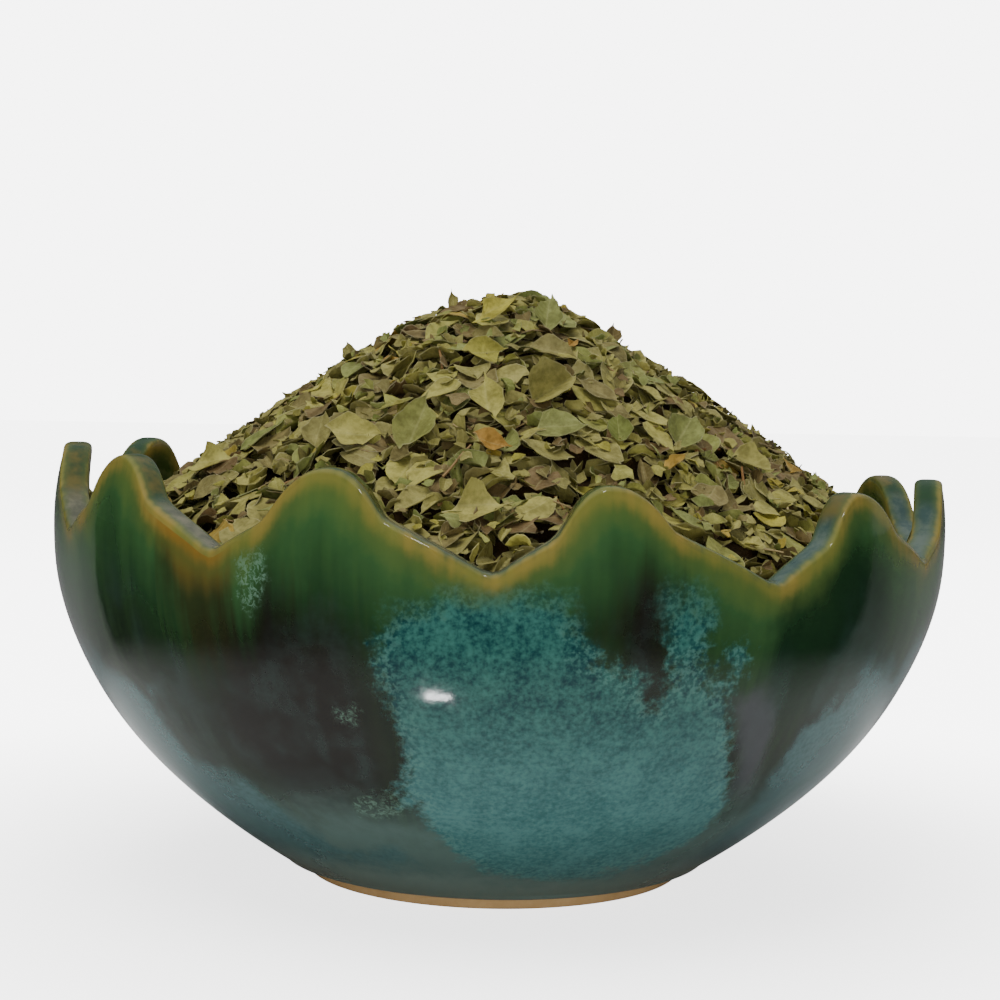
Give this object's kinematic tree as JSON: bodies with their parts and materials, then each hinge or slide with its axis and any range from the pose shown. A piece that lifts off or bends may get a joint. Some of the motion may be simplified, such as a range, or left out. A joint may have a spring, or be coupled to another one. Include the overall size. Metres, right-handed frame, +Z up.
{
  "type": "bowl of dried thyme leaves",
  "caption": "Round glazed stoneware bowl with a rim cut into waves, heaped with loose dried thyme leaves in a cone that stands above the rim.",
  "frame": {"origin": "centre of the foot, on the surface the bowl stands on", "axes": "+Z up; -Y is the front, the side the picture shows; +X is the right side seen from the front"},
  "size_m": [0.1754, 0.1754, 0.1167],
  "materials": {
    "glaze": "glossy mottled teal, dark green and brown glaze, golden brown along the cut rim",
    "dried_leaf": "matte dry leaf, olive to grey green"
  },
  "bodies": {
    "root": {"bowl": "glaze", "leaf_heap": "dried_leaf"}
  },
  "joints": []
}
